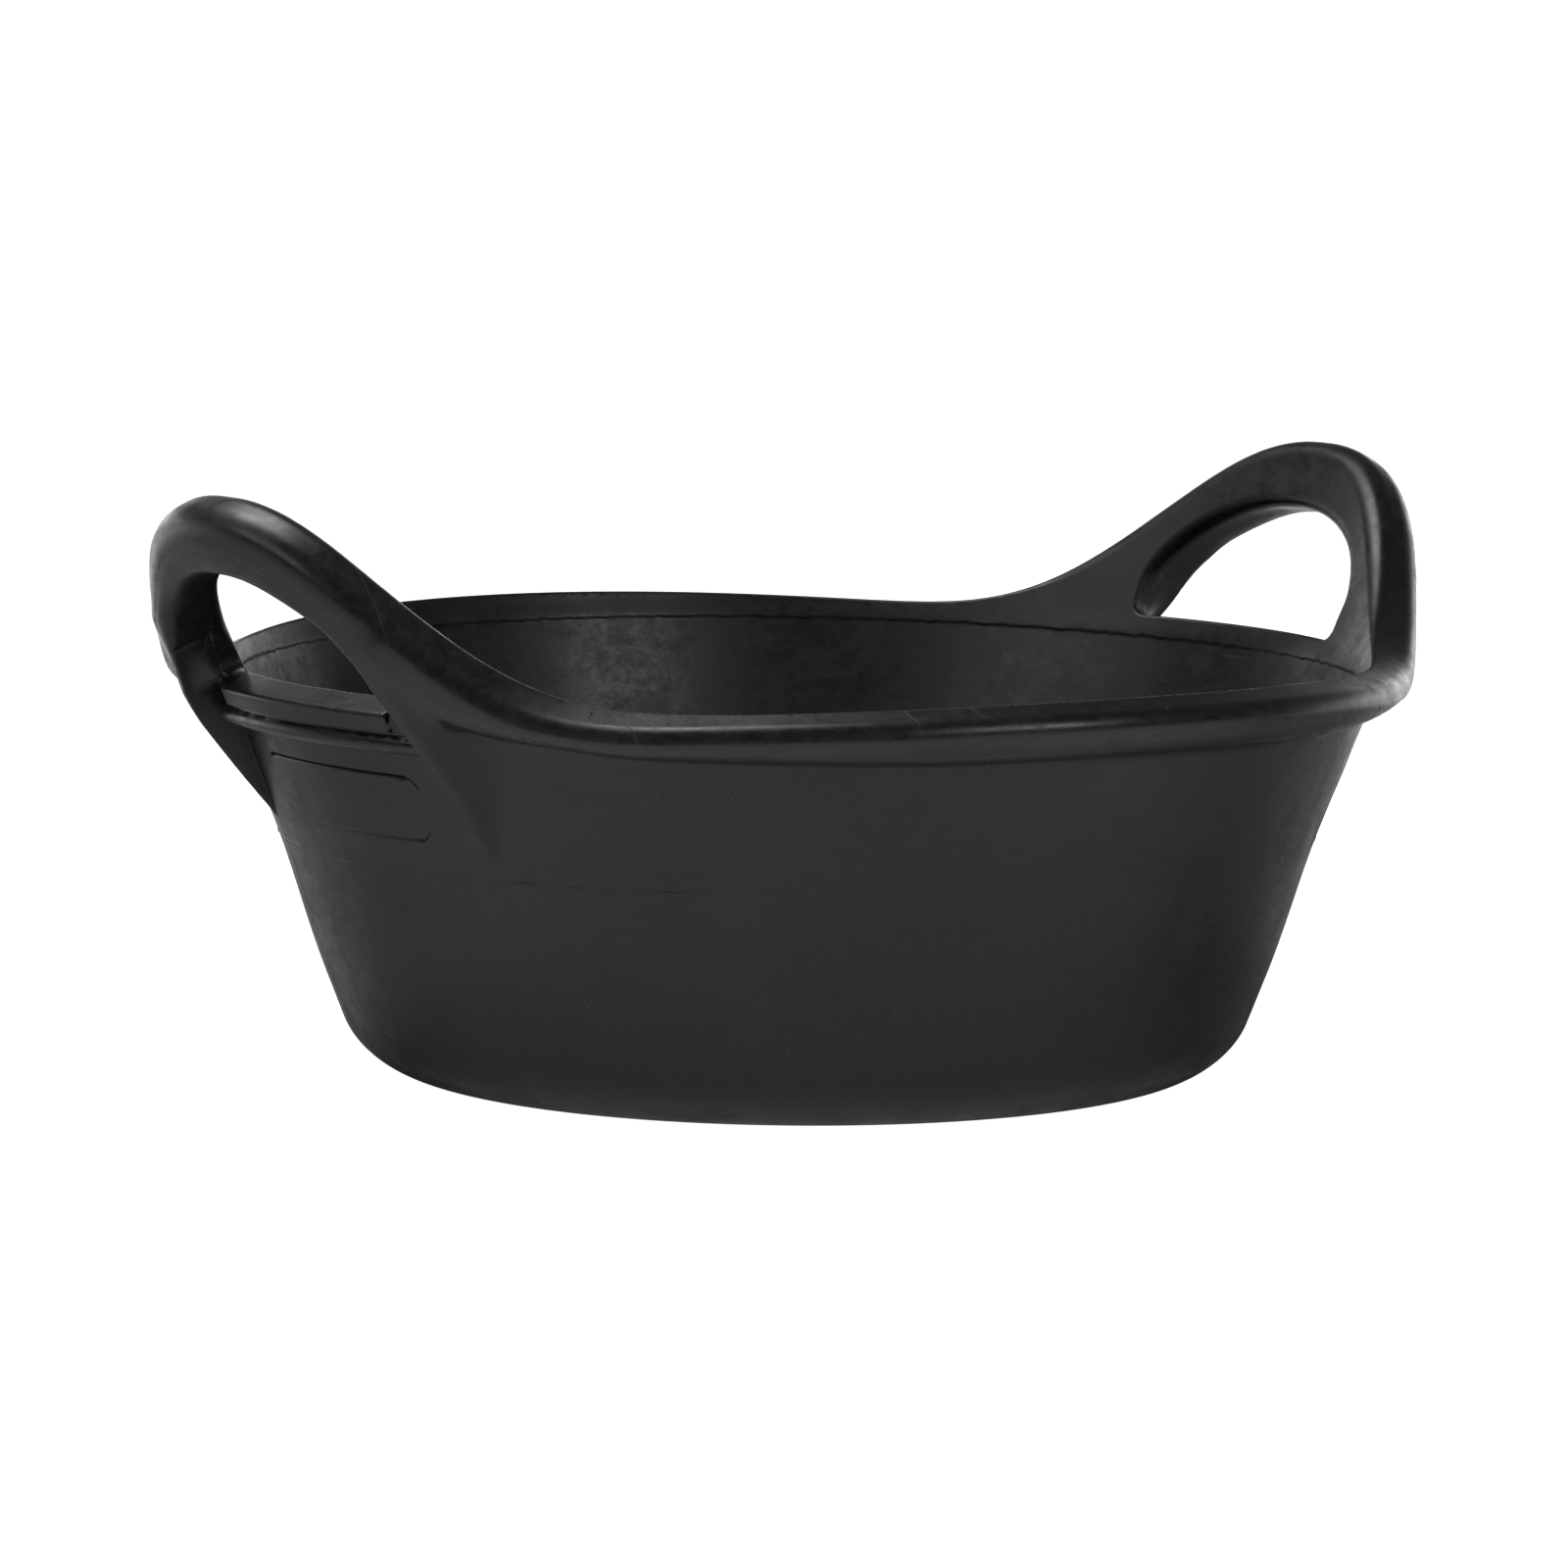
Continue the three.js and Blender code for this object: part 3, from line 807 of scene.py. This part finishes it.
def badge_mesh():
    """The panel as rings that climb its edge and close over its face, bent round the cone."""
    outline = badge_outline()
    profile = [(0.0, -0.7), (0.0, 0.15), (0.12, 0.4), (0.35, BADGE_PROUD)]
    points = []
    for inset, proud in profile:
        size = 1 - inset / 12
        points.append(np.column_stack([outline * size, np.full(len(outline), WALL + proud)]))
    for share in (0.85, 0.65, 0.45, 0.25, 0.1):
        points.append(np.column_stack([outline * share, np.full(len(outline), WALL + BADGE_PROUD)]))
    count, rings = len(outline), len(points)
    flat = np.concatenate(points + [np.array([[0, 0, WALL + BADGE_PROUD], [0, 0, WALL - 0.7]])])
    around, up, depth = flat.T
    turn = math.pi - around / ARC_RADIUS
    height = (BADGE_LOW + BADGE_HIGH) / 2 + up
    lean = math.atan(WALL_SLOPE)
    radius = RIM_INNER + WALL_SLOPE * (height - RIM_HEIGHT) + depth * math.cos(lean)
    solid = np.column_stack([radius * np.cos(turn), radius * np.sin(turn), height - depth * math.sin(lean)])
    triangles = []
    for ring in range(rings - 1):
        for k in range(count):
            a, b = ring * count + k, ring * count + (k + 1) % count
            triangles += [(a, b, b + count), (a, b + count, a + count)]
    last = (rings - 1) * count
    for k in range(count):
        triangles.append((last + k, last + (k + 1) % count, rings * count))
        triangles.append(((k + 1) % count, k, rings * count + 1))
    triangles = np.array(triangles)
    a, b, c = solid[triangles[:, 0]], solid[triangles[:, 1]], solid[triangles[:, 2]]
    volume = np.einsum("nd,nd->n", np.cross(a, b), c).sum()
    if volume < 0:
        triangles = triangles[:, ::-1]
    return solid, triangles, np.zeros(len(triangles), int)


badge = to_mesh("badge_panel_left", *badge_mesh(), wall_finish, badge_panel)
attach(badge, "root")
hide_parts("badge_panel_left")

# ------------------------------------------------------------------ camera
CAMERA_AZIMUTH = -35.44
CAMERA_ELEVATION = 7.22
CAMERA_DISTANCE = 3.067
CAMERA_TARGET = Vector((0, 0, 0.0795))
CAMERA_LENS = 194.2
CAMERA_ROLL = 0.008
AIM_UP = 0.0237
AIM_LEFT = 0.0048


def look_from(azimuth, elevation):
    a, e = azimuth * DEGREE, elevation * DEGREE
    return Vector((math.sin(a) * math.cos(e), -math.cos(a) * math.cos(e), math.sin(e)))


camera = bpy.data.objects.new("camera", bpy.data.cameras.new("camera"))
bpy.context.scene.collection.objects.link(camera)
camera.data.sensor_width = 36
camera.data.lens = CAMERA_LENS
back = look_from(CAMERA_AZIMUTH, CAMERA_ELEVATION)
camera.location = CAMERA_TARGET + back * CAMERA_DISTANCE
sideways = Vector((math.cos(CAMERA_AZIMUTH * DEGREE), math.sin(CAMERA_AZIMUTH * DEGREE), 0))
upward = back.cross(sideways)
aim = CAMERA_TARGET + upward * AIM_UP - sideways * AIM_LEFT
roll = Matrix.Rotation(CAMERA_ROLL, 3, "Z").to_quaternion()
turned = (aim - camera.location).to_track_quat("-Z", "Y") @ roll
camera.rotation_mode = "QUATERNION"
camera.rotation_quaternion = turned
camera.data.clip_end = 50
bpy.context.scene.camera = camera
bpy.context.scene.view_settings.view_transform = "Standard"

# ------------------------------------------------------------------ floor and light
world = bpy.data.worlds.new("studio")
bpy.context.scene.world = world
world.use_nodes = True
sky = Nodes(world)
away = -look_from(CAMERA_AZIMUTH, 0)
seen = sky.add("LightPath").outputs["Is Camera Ray"]
direction = sky.add("TexCoord").outputs["Generated"]
toward = sky.add("VectorMath", {0: direction, 1: away}, operation="DOT_PRODUCT").outputs["Value"]
climb = sky.add("SeparateXYZ", {0: direction}).outputs["Z"]
# A low bright wall behind the tub lights its edges; everything else is dim, and white to the camera.
behind = sky.spread(toward, 0.3, 0.85, 0.0, 2.2)
low_down = sky.spread(climb, 0.1, 0.36, 1.0, 0.0)
strength = sky.maths("ADD", sky.maths("MULTIPLY", behind, low_down), 0.1)
soft = sky.add("Background", {"Color": (1, 1, 1, 1), "Strength": strength}).outputs["Background"]
backdrop = sky.add("Background", {"Color": (1, 1, 1, 1), "Strength": 1.0}).outputs["Background"]
choose = sky.add("MixShader", {"Fac": seen, 1: soft, 2: backdrop}).outputs["Shader"]
world.node_tree.links.new(choose, world.node_tree.nodes["World Output"].inputs["Surface"])


def softbox(name, azimuth, elevation, distance, width, height, watts):
    """A large soft lamp that faces the middle of the tub."""
    lamp = bpy.data.lights.new(name, "AREA")
    lamp.shape = "RECTANGLE"
    lamp.size, lamp.size_y = width, height
    lamp.energy = watts
    holder = bpy.data.objects.new(name, lamp)
    bpy.context.scene.collection.objects.link(holder)
    holder.location = Vector((0, 0, 0.1)) + look_from(azimuth, elevation) * distance
    holder.rotation_mode = "QUATERNION"
    holder.rotation_quaternion = (Vector((0, 0, 0.1)) - holder.location).to_track_quat("-Z", "Y")


softbox("left_softbox", CAMERA_AZIMUTH - 62, 36, 1.9, 1.5, 0.34, 4)
softbox("right_softbox", CAMERA_AZIMUTH + 44, 33, 2.2, 0.7, 0.6, 9)
softbox("top_softbox", CAMERA_AZIMUTH - 120, 66, 1.5, 0.8, 0.8, 13)

floor_mesh = bpy.data.meshes.new("studio_floor")
floor_mesh.from_pydata([(-40, -40, 0), (40, -40, 0), (40, 40, 0), (-40, 40, 0)], [], [(0, 1, 2, 3)])
studio_floor = bpy.data.objects.new("studio_floor", floor_mesh)
bpy.context.scene.collection.objects.link(studio_floor)
paper = bpy.data.materials.new("paper")
paper.use_nodes = True
sheet = paper.node_tree.nodes["Principled BSDF"]
sheet.inputs["Base Color"].default_value = (0.5, 0.5, 0.5, 1)
sheet.inputs["Roughness"].default_value = 0.9
sheet.inputs["Emission Color"].default_value = (1, 1, 1, 1)
# Painted light on the paper: its emission glows bright some way behind the tub and just in front of it,
# dimmer beside it, and white to the camera.
paper_kit = Nodes(paper)
spot = paper_kit.add("TexCoord").outputs["Object"]
metres_behind = paper_kit.add("VectorMath", {0: spot, 1: away}, operation="DOT_PRODUCT").outputs["Value"]
rear_glow = paper_kit.spread(metres_behind, 0.3, 0.8, 0.0, 1.1)
front_glow = paper_kit.spread(metres_behind, -0.22, -0.04, 0.5, 0.0)
seen = paper_kit.add("LightPath").outputs["Is Camera Ray"]
glow = paper_kit.maths("MAXIMUM", paper_kit.maths("MAXIMUM", rear_glow, front_glow), seen)
paper.node_tree.links.new(glow, sheet.inputs["Emission Strength"])
floor_mesh.materials.append(paper)
